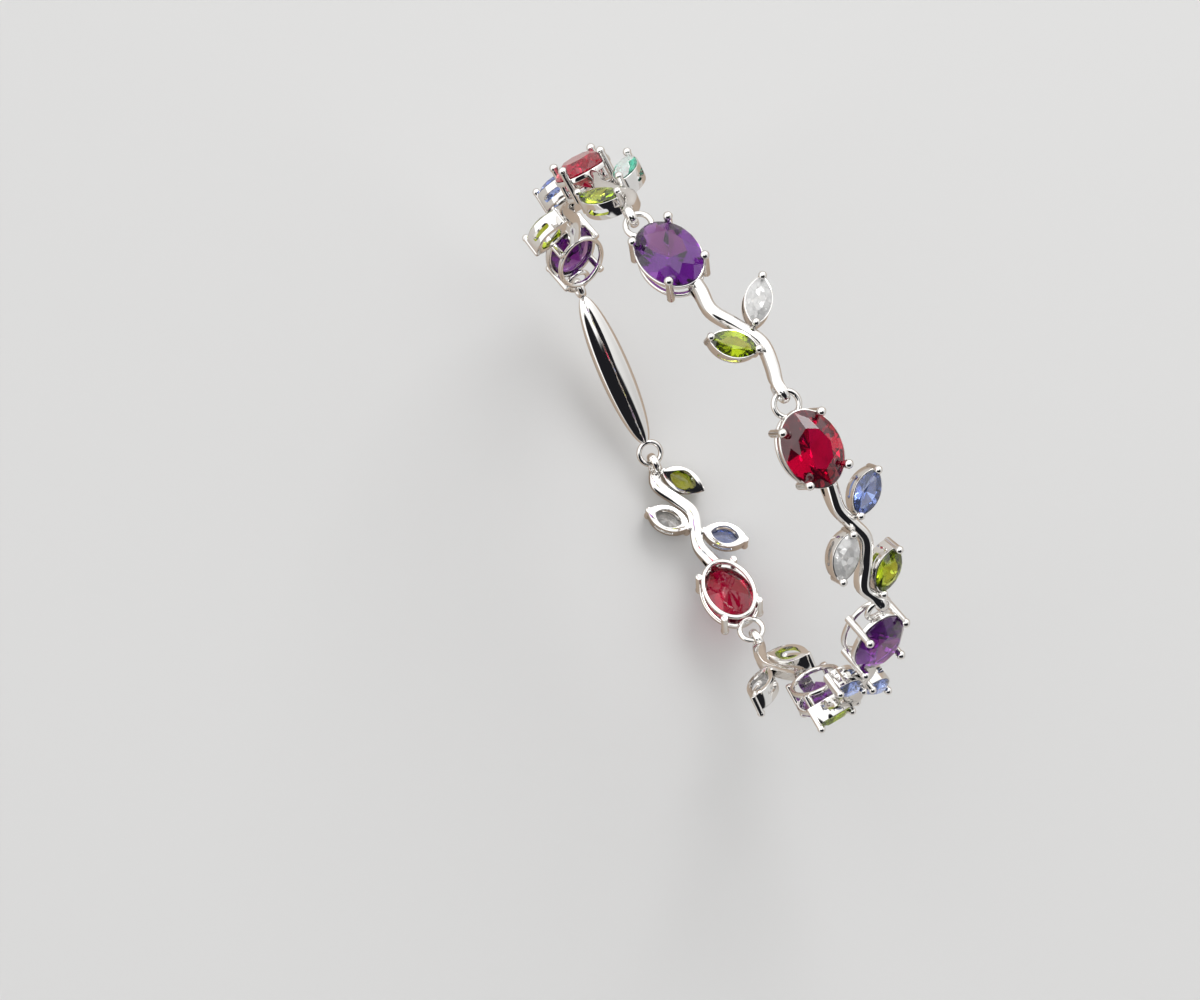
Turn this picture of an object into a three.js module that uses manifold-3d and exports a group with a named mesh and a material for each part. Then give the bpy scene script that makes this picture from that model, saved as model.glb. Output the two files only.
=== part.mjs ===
// A gemstone bracelet closed around a wrist: seven soldered links, each with an oval stone in a
// four-prong basket and a wavy stem with marquise leaf stones, joined ring through loop, and a clasp.
// Millimetres, +Z up. The wrist runs along Y through the origin, and the loop stands about the XZ plane.
import * as THREE from 'three';
import { mergeVertices } from 'three/addons/utils/BufferGeometryUtils.js';
import Module from 'manifold-3d';

const wasm = await Module();
wasm.setup();

// The closed loop that the pivots lie on, and where its first pivot is, in degrees from the top.
const loop = { halfWidth: 31.5, halfHeight: 28, squareness: 2.4, firstPivot: -139.2 };

// One link, pivot to pivot. Its basket leans back from the line between the pivots.
const link = { length: 23.8, headLean: 8.4, basketCentre: 6.3, stemStart: 10 };

// Flat ring at the head of a link, and the upright loop at its tail that goes through the next ring.
// The loop's band is broader than it is thick.
const headRing = { radius: 1.3, wire: 0.3 };
const tailLoop = { radius: 0.95, wire: 0.28, breadth: 0.88 };

// Cut stones: heights are above and below the middle of the girdle.
const ovalCut = { length: 8, width: 6, table: 0.56, crown: 1.1, girdle: 0.15, pavilion: 2.45 };
const leafCut = { length: 5, width: 2.6, table: 0.5, crown: 0.5, girdle: 0.1, pavilion: 1.15 };
const seatGap = 0.3;

// Settings: heights are above the pivot level of the link.
const basket = {
  girdle: 1, top: 0.65, railHeight: 0.7, bottom: -1.8, footHeight: 0.6,
  flare: 0.2, inset: 0.1, wall: 0.6, prongRadius: 0.45, prongTop: 2, prongOut: 0.2,
};
const leafSeat = {
  girdle: 0.75, top: 0.5, bottom: -1.35, flare: 0.15, wall: 0.45, endWall: 1.1,
  slotTop: -0.1, slotBottom: -0.75, slotLength: 2.2,
  prongRadius: 0.4, prongTop: 1.2, prongReach: 2.4, toStem: 1,
};

// The stem is a bar on edge that curves down to the tail loop. Along is measured on its curve.
const stemStep = { length: 1.35, until: 12.4 };
const stemFork = { along: 0.5, height: -0.62, long: 1.4, tall: 0.9 };
const stemEdges = [
  { along: -0.2, top: 0.72, bottom: -1.7, width: 1.5 },
  { along: 1.2, top: 0.72, bottom: -1.55, width: 1.5 },
  { along: 3.2, top: 0.66, bottom: -1.15, width: 1.4 },
  { along: 11.6, top: 0.68, bottom: -1.1, width: 1.35 },
  { along: 12.8, top: 0.85, bottom: -0.8, width: 1.25 },
  { along: 13.4, top: 1, bottom: 0.25, width: 1.15 },
  { along: 13.75, top: 1.08, bottom: 0.6, width: 1.1 },
  { along: 14.2, top: 1.18, bottom: 0.72, width: 1.05 },
];
const stems = {
  pair: {
    bends: [
      { along: -0.2, aside: 0.3 }, { along: 1.2, aside: 0.1 }, { along: 3.4, aside: -0.4 },
      { along: 6.3, aside: 0.6 }, { along: 9.2, aside: 1.5 }, { along: 11.7, aside: 0.9 },
      { along: 13.4, aside: 0.1 }, { along: 14.2, aside: 0 },
    ],
    leaves: [
      { along: 7.3, side: 1, heading: 134 },
      { along: 9.5, side: -1, heading: -140 },
    ],
  },
  latePair: {
    bends: [
      { along: -0.2, aside: 0.3 }, { along: 2.5, aside: 0.2 }, { along: 5, aside: -0.1 },
      { along: 8, aside: 0.5 }, { along: 10.8, aside: 1.35 }, { along: 12.4, aside: 0.8 },
      { along: 13.4, aside: 0.15 }, { along: 14.2, aside: 0 },
    ],
    leaves: [
      { along: 8.2, side: 1, heading: 150 },
      { along: 10.8, side: -1, heading: -138 },
    ],
  },
  trio: {
    bends: [
      { along: -0.2, aside: 0.3 }, { along: 1.2, aside: 0.05 }, { along: 3, aside: -0.15 },
      { along: 5, aside: 0.5 }, { along: 7, aside: 1.1 }, { along: 9.3, aside: 0.2 },
      { along: 11.9, aside: -1 }, { along: 13.4, aside: -0.3 }, { along: 14.2, aside: 0 },
    ],
    leaves: [
      { along: 4.3, side: 1, heading: 132 },
      { along: 5.6, side: -1, heading: -38 },
      { along: 12.8, side: 1, heading: 141 },
    ],
  },
};
stems.wideTrio = {
  bends: stems.trio.bends,
  leaves: [...stems.trio.leaves.slice(0, 2), { along: 12.4, side: 1, heading: 108 }],
};

// The links in order from the clasp. Aside is how far the head pivot strays from the loop's plane.
const chain = [
  { stone: 'amethyst', stem: 'trio', flip: -1, leaves: ['peridot', 'clear', 'blue'], aside: 1.26 },
  { stone: 'ruby', stem: 'latePair', flip: 1, leaves: ['green', 'peridot'], aside: 2.89 },
  { stone: 'amethyst', stem: 'pair', flip: 1, leaves: ['clear', 'peridot'], aside: -0.03 },
  { stone: 'ruby', stem: 'trio', flip: 1, leaves: ['blue', 'clear', 'peridot'], aside: 1.74 },
  { stone: 'amethyst', stem: 'wideTrio', flip: -1, leaves: ['blue', 'blue', 'peridot'], aside: 0.52 },
  { stone: 'amethyst', stem: 'pair', flip: -1, leaves: ['clear', 'peridot'], aside: -3.45 },
  { stone: 'ruby', stem: 'trio', flip: 1, leaves: ['blue', 'clear', 'peridot'], aside: -2.92 },
];
const clasp = { aside: -0.9, bodyWidth: 3.8, bodyDepth: 2.4 };

// Facets around round parts.
const around = { rail: 16, prong: 6, ringWire: 5, ring: 12, leafArc: 5 };

const metal = new THREE.MeshStandardMaterial({ color: 0xe8e8ea, roughness: 0.08, metalness: 1 });
const stoneColours = {
  ruby: 0xb0061f, amethyst: 0x5b2a9d, peridot: 0x8db320,
  blue: 0x6f8fe0, clear: 0xf2f5f8, green: 0x1f9a72,
};
const stoneMaterials = {};
for (const [kind, color] of Object.entries(stoneColours)) {
  stoneMaterials[kind] = new THREE.MeshStandardMaterial({ color, roughness: 0.05, metalness: 0, flatShading: true });
}

// ---- solids ----

function toSolid(geometry) {
  const bare = new THREE.BufferGeometry();
  bare.setAttribute('position', geometry.getAttribute('position'));
  bare.setIndex(geometry.getIndex());
  const merged = mergeVertices(bare, 1e-4);
  const corners = merged.getIndex().array;
  const triVerts = [];
  for (let i = 0; i < corners.length; i += 3) {
    const [a, b, c] = corners.slice(i, i + 3);
    if (a !== b && b !== c && c !== a) triVerts.push(a, b, c);
  }
  return new wasm.Manifold(new wasm.Mesh({
    numProp: 3,
    vertProperties: new Float32Array(merged.getAttribute('position').array),
    triVerts: new Uint32Array(triVerts),
  }));
}

function toGeometry(solid) {
  const mesh = solid.getMesh();
  const geometry = new THREE.BufferGeometry();
  geometry.setAttribute('position', new THREE.BufferAttribute(mesh.vertProperties, 3));
  geometry.setIndex(new THREE.BufferAttribute(mesh.triVerts, 1));
  geometry.computeVertexNormals();
  return geometry;
}

function joinAll(geometries) {
  return geometries.map(toSolid).reduce((whole, piece) => whole.add(piece));
}

// Rings of points, bottom to top, skinned into one closed body.
function skin(rings) {
  const count = rings[0].length;
  const positions = rings.flat().flatMap((point) => point.toArray());
  const index = [];
  for (let r = 0; r < rings.length - 1; r += 1) {
    for (let i = 0; i < count; i += 1) {
      const a = r * count + i;
      const b = r * count + ((i + 1) % count);
      index.push(a, b, b + count, a, b + count, a + count);
    }
  }
  const last = (rings.length - 1) * count;
  for (let i = 1; i < count - 1; i += 1) {
    index.push(0, i + 1, i);
    index.push(last, last + i, last + i + 1);
  }
  const geometry = new THREE.BufferGeometry();
  geometry.setAttribute('position', new THREE.Float32BufferAttribute(positions, 3));
  geometry.setIndex(index);
  return geometry;
}

// ---- cut stones ----

function ovalOutline(length, width) {
  return (turn) => new THREE.Vector2((length / 2) * Math.cos(turn), (width / 2) * Math.sin(turn));
}

// Two arcs that meet in a point at each end.
function leafOutline(length, width) {
  const half = length / 2;
  const arc = (half * half + (width * width) / 4) / width;
  return (turn) => {
    const x = half * Math.cos(turn);
    const y = Math.sqrt(arc * arc - x * x) - (arc - width / 2);
    return new THREE.Vector2(x, Math.sign(Math.sin(turn)) * Math.max(0, y));
  };
}

// A brilliant: table, eight star facets, eight kites and sixteen girdle facets over a pointed pavilion.
function cutStone(outline, cut) {
  const step = Math.PI / 8;
  const starReach = (1 + cut.table) / 2;
  const starHeight = cut.crown * ((1 - starReach * Math.cos(step)) / (1 - cut.table));
  const lowerReach = 0.42;
  const lowerDepth = cut.pavilion * (1 - lowerReach * Math.cos(step));
  const points = [];
  const put = (k, reach, height) => {
    const edge = outline(k * step).multiplyScalar(reach);
    points.push(edge.x, edge.y, height);
    return points.length / 3 - 1;
  };
  const table = [];
  const star = [];
  const upper = [];
  const under = [];
  const lower = [];
  for (let k = 0; k < 16; k += 1) {
    if (k % 2 === 0) table.push(put(k, cut.table, cut.crown));
    if (k % 2 === 1) star.push(put(k, starReach, starHeight));
    upper.push(put(k, 1, cut.girdle / 2));
    under.push(put(k, 1, -cut.girdle / 2));
    if (k % 2 === 1) lower.push(put(k, lowerReach, -lowerDepth));
  }
  const culet = put(0, 0, -cut.pavilion);
  const index = [];
  for (let i = 0; i < 8; i += 1) {
    const j = (i + 1) % 8;
    const main = 2 * i;
    const mid = 2 * i + 1;
    const next = (2 * i + 2) % 16;
    if (i > 0 && i < 7) index.push(table[0], table[i], table[j]);
    index.push(table[i], star[i], table[j]);
    index.push(table[i], upper[main], star[i], star[i], upper[next], table[j]);
    index.push(star[i], upper[main], upper[mid], star[i], upper[mid], upper[next]);
    index.push(upper[main], under[main], under[mid], upper[main], under[mid], upper[mid]);
    index.push(upper[mid], under[mid], under[next], upper[mid], under[next], upper[next]);
    index.push(lower[i], under[mid], under[main], lower[i], under[next], under[mid]);
    index.push(culet, lower[i], under[main], culet, under[next], lower[i]);
  }
  const geometry = new THREE.BufferGeometry();
  geometry.setAttribute('position', new THREE.Float32BufferAttribute(points, 3));
  geometry.setIndex(index);
  geometry.computeVertexNormals();
  return geometry;
}

const ovalStone = cutStone(ovalOutline(ovalCut.length, ovalCut.width), ovalCut);
const leafStone = cutStone(leafOutline(leafCut.length, leafCut.width), leafCut);

// A plain double cone, larger than the stone by the seat gap, that clears the setting for it.
function seatCutter(outline, cut, count) {
  const edge = outline(cut.length + 2 * seatGap, cut.width + 2 * seatGap);
  const levels = [
    [0.04, -cut.pavilion - seatGap],
    [1, -cut.girdle / 2 - seatGap],
    [1, cut.girdle / 2 + seatGap],
    [cut.table, cut.crown + seatGap],
  ];
  return skin(levels.map(([reach, height]) => {
    const ring = [];
    for (let k = 0; k < count; k += 1) {
      const point = edge((2 * Math.PI * k) / count).multiplyScalar(reach);
      ring.push(new THREE.Vector3(point.x, point.y, height));
    }
    return ring;
  }));
}

// ---- settings ----

// A rail around the oval, between two heights, with its outer face at a distance from the girdle line.
function ovalRail(outward, bottom, top) {
  const outer = ovalCut.width / 2 + outward;
  const outerLength = ovalCut.length / 2 + outward;
  const inner = outer - basket.wall;
  const profile = [
    new THREE.Vector2(inner, bottom),
    new THREE.Vector2(outer, bottom),
    new THREE.Vector2(outer, top),
    new THREE.Vector2(inner, top),
    new THREE.Vector2(inner, bottom),
  ];
  const rail = new THREE.LatheGeometry(profile, around.rail);
  rail.rotateX(Math.PI / 2);
  rail.scale(outerLength / outer, 1, 1);
  return rail;
}

// An upright post with a flat foot and a tapered tip, one radius above the top height.
function prong(x, y, bottom, top, radius) {
  const levels = [[1, bottom], [1, top + 0.3 * radius], [0.6, top + radius]];
  return skin(levels.map(([reach, height]) => {
    const ring = [];
    for (let k = 0; k < around.prong; k += 1) {
      const turn = (2 * Math.PI * k) / around.prong;
      ring.push(new THREE.Vector3(x + reach * radius * Math.cos(turn), y + reach * radius * Math.sin(turn), height));
    }
    return ring;
  }));
}

function ovalSetting() {
  const pieces = [
    ovalRail(basket.flare, basket.top - basket.railHeight, basket.top),
    ovalRail(-basket.inset, basket.bottom, basket.bottom + basket.footHeight),
  ];
  const corner = ovalOutline(ovalCut.length, ovalCut.width)(Math.PI / 4);
  const away = new THREE.Vector2(ovalCut.width * corner.x / ovalCut.length, ovalCut.length * corner.y / ovalCut.width);
  away.setLength(basket.prongOut);
  for (const sx of [-1, 1]) {
    for (const sy of [-1, 1]) {
      const x = sx * (corner.x + away.x);
      const y = sy * (corner.y + away.y);
      pieces.push(prong(x, y, basket.bottom, basket.prongTop, basket.prongRadius));
    }
  }
  return joinAll(pieces);
}

function leafShape(length, width) {
  const outline = leafOutline(length, width);
  const points = [];
  for (let i = 0; i < 2 * around.leafArc; i += 1) points.push(outline((i * Math.PI) / around.leafArc));
  return new THREE.Shape(points);
}

function leafSetting() {
  const outerLength = leafCut.length + 2 * leafSeat.flare;
  const outerWidth = leafCut.width + 2 * leafSeat.flare;
  const shape = leafShape(outerLength, outerWidth);
  shape.holes.push(leafShape(outerLength - 2 * leafSeat.endWall, outerWidth - 2 * leafSeat.wall));
  const wall = new THREE.ExtrudeGeometry(shape, { depth: leafSeat.top - leafSeat.bottom, bevelEnabled: false });
  wall.translate(0, 0, leafSeat.bottom);
  const pieces = [wall];
  for (const end of [-1, 1]) {
    pieces.push(prong(end * leafSeat.prongReach, 0, leafSeat.bottom, leafSeat.prongTop, leafSeat.prongRadius));
  }
  const slot = new THREE.BoxGeometry(leafSeat.slotLength, 2 * leafCut.width, leafSeat.slotTop - leafSeat.slotBottom);
  slot.translate(0, 0, (leafSeat.slotTop + leafSeat.slotBottom) / 2);
  const cutter = seatCutter(leafOutline, leafCut, 2 * around.leafArc);
  cutter.translate(0, 0, leafSeat.girdle);
  return joinAll(pieces).subtract(toSolid(slot)).subtract(toSolid(cutter));
}

// ---- stem ----

const lean = THREE.MathUtils.degToRad(link.headLean);
const tailPivot = new THREE.Vector3(link.length * Math.cos(lean), 0, -link.length * Math.sin(lean));
const stemRun = tailPivot.x - link.stemStart;
const stemTurn = 2 * Math.atan(-tailPivot.z / stemRun);
const stemRadius = stemRun / Math.sin(stemTurn);

// Value of a table column at a distance along the stem, through a smooth curve.
function readTable(rows, column, along) {
  const curve = new THREE.CatmullRomCurve3(
    rows.map((row) => new THREE.Vector3(row.along, row[column], 0)), false, 'centripetal');
  let low = 0;
  let high = 1;
  for (let i = 0; i < 30; i += 1) {
    const middle = (low + high) / 2;
    if (curve.getPoint(middle).x < along) low = middle;
    else high = middle;
  }
  return curve.getPoint((low + high) / 2).y;
}

// Local axes at a distance along the stem: the curve's tangent, the side and the way out.
function stemFrame(along, aside, height) {
  const turn = Math.max(0, along) / stemRadius;
  const start = link.stemStart + Math.min(0, along);
  const frame = new THREE.Matrix4().makeRotationY(turn);
  const reach = stemRadius + height;
  frame.setPosition(start + reach * Math.sin(turn), aside, reach * Math.cos(turn) - stemRadius);
  return frame;
}

// A bar on edge, flat below and round on top, whose end stands over the tail loop.
function stemBar(bends, flip) {
  const bare = stemEdges.findIndex((row) => row.along > stemStep.until);
  const stations = [];
  for (let along = stemEdges[0].along; along < stemStep.until; along += stemStep.length) stations.push(along);
  stations.push(...stemEdges.slice(bare).map((row) => row.along));
  const rings = stations.map((along) => {
    const aside = flip * readTable(bends, 'aside', along);
    const top = readTable(stemEdges, 'top', along);
    const bottom = readTable(stemEdges, 'bottom', along);
    const slope = flip * (readTable(bends, 'aside', along + 0.1) - readTable(bends, 'aside', along - 0.1)) / 0.2;
    const across = new THREE.Vector2(-slope, 1).normalize().multiplyScalar(readTable(stemEdges, 'width', along) / 2);
    const crown = Math.min(0.45, (top - bottom) / 2);
    const section = [[-1, bottom], [1, bottom]];
    for (const degrees of [0, 55, 125, 180]) {
      const turn = THREE.MathUtils.degToRad(degrees);
      section.push([Math.cos(turn), top - crown + crown * Math.sin(turn)]);
    }
    return section.map(([u, height]) => new THREE.Vector3(u * across.x, u * across.y, height)
      .applyMatrix4(stemFrame(along, aside, 0)));
  });
  return skin(rings);
}

// ---- links and clasp ----

// The bar leaves the basket as two strands, one from each rail, with a small opening between them.
function forkCutter() {
  const cutter = new THREE.CylinderGeometry(0.5, 0.5, 4, 8);
  cutter.scale(stemFork.long, 1, stemFork.tall);
  cutter.translate(link.stemStart + stemFork.along, 0, stemFork.height);
  return cutter;
}

function leafFrames(stem, flip) {
  return stem.leaves.map((leaf) => {
    const aside = flip * (readTable(stem.bends, 'aside', leaf.along) + leaf.side * leafSeat.toStem);
    const turned = new THREE.Matrix4().makeRotationZ(flip * THREE.MathUtils.degToRad(leaf.heading));
    const slid = new THREE.Matrix4().makeTranslation(leafSeat.prongReach, 0, 0);
    return stemFrame(leaf.along, aside, 0).multiply(turned).multiply(slid);
  });
}

function ringGeometry(ring) {
  return new THREE.TorusGeometry(ring.radius, ring.wire, around.ringWire, around.ring);
}

function tailGeometry(x, z) {
  const tail = ringGeometry(tailLoop);
  tail.scale(1, 1, tailLoop.breadth / (2 * tailLoop.wire));
  tail.rotateX(Math.PI / 2);
  tail.translate(x, 0, z);
  return tail;
}

const ovalSeat = seatCutter(ovalOutline, ovalCut, around.rail);
ovalSeat.translate(link.basketCentre, 0, basket.girdle);
const basketSolid = ovalSetting().translate([link.basketCentre, 0, 0]);
const leafCup = toGeometry(leafSetting());

function linkMetal(stem, flip) {
  const head = ringGeometry(headRing);
  head.translate(headRing.radius, 0, 0);
  const tail = tailGeometry(tailPivot.x, tailPivot.z);
  const cups = leafFrames(stem, flip).map((frame) => leafCup.clone().applyMatrix4(frame));
  const bar = toSolid(stemBar(stem.bends, flip)).subtract(toSolid(forkCutter()));
  const whole = joinAll([head, tail, ...cups]).add(bar).add(basketSolid);
  return toGeometry(whole.subtract(toSolid(ovalSeat)));
}

// A plain closed clasp: a rounded bar with a ring like a link's at one end and a loop at the other.
function claspMetal(length) {
  const head = ringGeometry(headRing);
  head.translate(headRing.radius, 0, 0);
  const tail = tailGeometry(length, 0);
  const start = 2 * headRing.radius - 0.2;
  const end = length - tailLoop.radius;
  const profile = [[0, 0], [0, 0.55], [0.1, 0.85], [0.25, 1], [0.75, 1], [0.9, 0.85], [1, 0.55], [1, 0]];
  const bar = new THREE.LatheGeometry(
    profile.map(([along, reach]) => new THREE.Vector2(reach * clasp.bodyWidth / 2, along)), around.rail);
  bar.rotateZ(-Math.PI / 2);
  bar.scale(end - start, 1, clasp.bodyDepth / clasp.bodyWidth);
  bar.translate(start, 0, 0);
  return toGeometry(joinAll([head, tail, bar]));
}

// ---- assembly ----

function loopPoint(degrees, aside) {
  const turn = THREE.MathUtils.degToRad(degrees);
  const bend = (value) => Math.sign(value) * Math.abs(value) ** (2 / loop.squareness);
  return new THREE.Vector3(loop.halfWidth * bend(Math.sin(turn)), aside, loop.halfHeight * bend(Math.cos(turn)));
}

// Steps one link further round the loop.
function nextPivot(from, degrees, aside) {
  let low = degrees + 5;
  let high = degrees + 100;
  for (let i = 0; i < 40; i += 1) {
    const middle = (low + high) / 2;
    if (loopPoint(middle, aside).distanceTo(from) < link.length) low = middle;
    else high = middle;
  }
  return (low + high) / 2;
}

// A group whose +X runs from one pivot to the next and whose +Z points away from the wrist.
function pivotGroup(from, to) {
  const along = new THREE.Vector3().subVectors(to, from).normalize();
  const out = new THREE.Vector3().crossVectors(along, new THREE.Vector3(0, 1, 0)).normalize();
  const side = new THREE.Vector3().crossVectors(out, along);
  const group = new THREE.Group();
  group.applyMatrix4(new THREE.Matrix4().makeBasis(along, side, out).setPosition(from));
  return group;
}

const bracelet = new THREE.Group();
const counts = {};

function addMesh(parent, kind, geometry, material) {
  counts[kind] = (counts[kind] ?? 0) + 1;
  const mesh = new THREE.Mesh(geometry, material);
  mesh.name = `${kind}_${counts[kind]}`;
  parent.add(mesh);
  return mesh;
}

let turn = loop.firstPivot;
const pivots = [loopPoint(turn, chain[0].aside)];
const metals = new Map();
chain.forEach((row, i) => {
  const nextAside = (chain[i + 1] ?? clasp).aside;
  turn = nextPivot(pivots[i], turn, nextAside);
  pivots.push(loopPoint(turn, nextAside));
  const body = new THREE.Group();
  body.rotation.y = -lean;
  bracelet.add(pivotGroup(pivots[i], pivots[i + 1]).add(body));

  const stem = stems[row.stem];
  const key = `${row.stem}${row.flip}`;
  if (!metals.has(key)) metals.set(key, linkMetal(stem, row.flip));
  addMesh(body, 'link', metals.get(key), metal);
  addMesh(body, row.stone, ovalStone, stoneMaterials[row.stone]).position.set(link.basketCentre, 0, basket.girdle);
  leafFrames(stem, row.flip).forEach((frame, n) => {
    const kind = row.leaves[n];
    const leaf = addMesh(body, `${kind}_leaf`, leafStone, stoneMaterials[kind]);
    leaf.applyMatrix4(frame.multiply(new THREE.Matrix4().makeTranslation(0, 0, leafSeat.girdle)));
  });
});

const claspGroup = pivotGroup(pivots.at(-1), pivots[0]);
const claspMesh = new THREE.Mesh(claspMetal(pivots.at(-1).distanceTo(pivots[0])), metal);
claspMesh.name = 'clasp';
bracelet.add(claspGroup.add(claspMesh));

export default bracelet;
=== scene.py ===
import math

import bpy
from mathutils import Matrix, Vector


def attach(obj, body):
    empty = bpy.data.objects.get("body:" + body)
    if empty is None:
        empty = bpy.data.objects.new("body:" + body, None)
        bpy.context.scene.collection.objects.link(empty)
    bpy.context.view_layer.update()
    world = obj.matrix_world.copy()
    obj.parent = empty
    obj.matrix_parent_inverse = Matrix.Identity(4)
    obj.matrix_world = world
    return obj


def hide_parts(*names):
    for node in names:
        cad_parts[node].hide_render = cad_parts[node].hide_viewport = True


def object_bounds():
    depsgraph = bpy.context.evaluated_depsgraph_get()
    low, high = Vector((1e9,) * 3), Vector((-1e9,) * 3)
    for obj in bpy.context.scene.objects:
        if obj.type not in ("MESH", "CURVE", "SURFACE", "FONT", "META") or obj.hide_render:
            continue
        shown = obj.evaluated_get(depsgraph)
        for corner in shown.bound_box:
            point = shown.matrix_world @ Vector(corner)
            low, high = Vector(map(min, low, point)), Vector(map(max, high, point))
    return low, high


# A gemstone bracelet, closed as it is worn: silver links with oval stones in baskets and leaf stones on
# wavy stems. The pieces are shaped in millimetres at the origin and then set into the loop in metres.

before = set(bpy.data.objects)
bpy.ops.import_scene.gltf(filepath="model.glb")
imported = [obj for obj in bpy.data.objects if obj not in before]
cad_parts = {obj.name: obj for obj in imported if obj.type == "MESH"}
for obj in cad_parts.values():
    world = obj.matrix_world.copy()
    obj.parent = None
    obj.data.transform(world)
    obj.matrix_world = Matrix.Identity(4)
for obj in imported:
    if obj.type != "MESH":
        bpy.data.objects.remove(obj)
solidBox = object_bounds()
millimetre = 0.001


# camera and stage

cameraView = {
    "place": (-0.0005, -0.0782, 0.3374),
    "right": (0.5323, 0.8314, 0.1584),
    "forward": (0.0000, 0.1872, -0.9823),
    "lens": 97.5,
}
studio = {
    "floorDrop": 0.0004,
    "floorSize": 2.4,
    "floorRoughness": 0.8,
    "floorColour": (0.66, 0.66, 0.66),
    # painted reflection: the next two floor tones are seen only in reflections and through the stones
    "warmPaintedReflection": (0.50, 0.40, 0.32),
    "palePaintedReflection": (0.62, 0.59, 0.56),
    "paintedReflectionFade": (0.022, 0.036),
    "skyStrength": 1.5,
    "skyTones": [(0.0, 0.95), (0.30, 0.90), (0.50, 0.92), (0.66, 1.0)],
    "skyTint": (1.0, 0.995, 0.985),
    "brightSide": (-0.965, -0.263, 0.0),
    "sideTones": [(-0.75, 0.52), (0.05, 1.0)],
    "cards": [
        {"towards": (0.47, -0.675, 0.569), "reach": 0.62},
        {"towards": (0.777, -0.129, 0.617), "reach": 0.62},
        {"towards": (0.28, 0.21, 0.94), "reach": 0.22},
    ],
    "cardColour": (0.01, 0.01, 0.012),
    "cardCore": 0.85,
    "keyPlace": (-0.28, 0.30, 0.42),
    "keySize": 0.30,
    "keyPower": 0.9,
}


def deselectAll():
    for thing in list(bpy.context.selected_objects):
        thing.select_set(False)


def pick(thing):
    deselectAll()
    thing.select_set(True)
    bpy.context.view_layer.objects.active = thing


def makeCamera():
    data = bpy.data.cameras.new("camera")
    camera = bpy.data.objects.new("camera", data)
    bpy.context.scene.collection.objects.link(camera)
    right = Vector(cameraView["right"]).normalized()
    forward = Vector(cameraView["forward"]).normalized()
    up = right.cross(forward)
    turned = Matrix((right, up, -forward)).transposed().to_4x4()
    camera.matrix_world = Matrix.Translation(cameraView["place"]) @ turned
    data.sensor_width = 36
    data.lens = cameraView["lens"]
    data.clip_start = 0.01
    data.clip_end = 20
    data.dof.use_dof = False
    bpy.context.scene.camera = camera


def makeSky():
    sky = bpy.data.worlds.new("sky")
    bpy.context.scene.world = sky
    sky.use_nodes = True
    nodes, links = sky.node_tree.nodes, sky.node_tree.links
    nodes.clear()
    direction = nodes.new("ShaderNodeTexCoord")
    height = nodes.new("ShaderNodeSeparateXYZ")
    links.new(direction.outputs["Generated"], height.inputs[0])
    tone = nodes.new("ShaderNodeValToRGB")
    stops = tone.color_ramp.elements
    stops.remove(stops[1])
    for number, (position, shade) in enumerate(studio["skyTones"]):
        stop = stops[0] if number == 0 else stops.new(position)
        stop.position = position
        stop.color = (*(shade * part for part in studio["skyTint"]), 1)
    links.new(height.outputs["Z"], tone.inputs["Fac"])
    # the room is brighter on one side
    across = nodes.new("ShaderNodeVectorMath")
    across.operation = "DOT_PRODUCT"
    across.inputs[1].default_value = Vector(studio["brightSide"]).normalized()
    links.new(direction.outputs["Generated"], across.inputs[0])
    side = nodes.new("ShaderNodeMapRange")
    side.interpolation_type = "SMOOTHSTEP"
    (side.inputs["From Min"].default_value, side.inputs["To Min"].default_value) = studio["sideTones"][0]
    (side.inputs["From Max"].default_value, side.inputs["To Max"].default_value) = studio["sideTones"][1]
    links.new(across.outputs["Value"], side.inputs["Value"])
    both = nodes.new("ShaderNodeMix")
    both.data_type = "RGBA"
    both.blend_type = "MULTIPLY"
    both.inputs["Factor"].default_value = 1
    links.new(tone.outputs["Color"], both.inputs[6])
    links.new(side.outputs["Result"], both.inputs[7])
    colour = both.outputs[2]
    # dark cards beside the camera give polished metal its black streaks
    for card in studio["cards"]:
        apart = nodes.new("ShaderNodeVectorMath")
        apart.operation = "DISTANCE"
        apart.inputs[1].default_value = Vector(card["towards"]).normalized()
        links.new(direction.outputs["Generated"], apart.inputs[0])
        edge = nodes.new("ShaderNodeMapRange")
        edge.interpolation_type = "SMOOTHSTEP"
        edge.inputs["From Min"].default_value = card["reach"] * studio["cardCore"]
        edge.inputs["From Max"].default_value = card["reach"]
        links.new(apart.outputs["Value"], edge.inputs["Value"])
        shaded = nodes.new("ShaderNodeMix")
        shaded.data_type = "RGBA"
        shaded.inputs[6].default_value = (*studio["cardColour"], 1)
        links.new(edge.outputs["Result"], shaded.inputs["Factor"])
        links.new(colour, shaded.inputs[7])
        colour = shaded.outputs[2]
    light = nodes.new("ShaderNodeBackground")
    light.inputs["Strength"].default_value = studio["skyStrength"]
    links.new(colour, light.inputs["Color"])
    output = nodes.new("ShaderNodeOutputWorld")
    links.new(light.outputs[0], output.inputs["Surface"])


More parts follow.
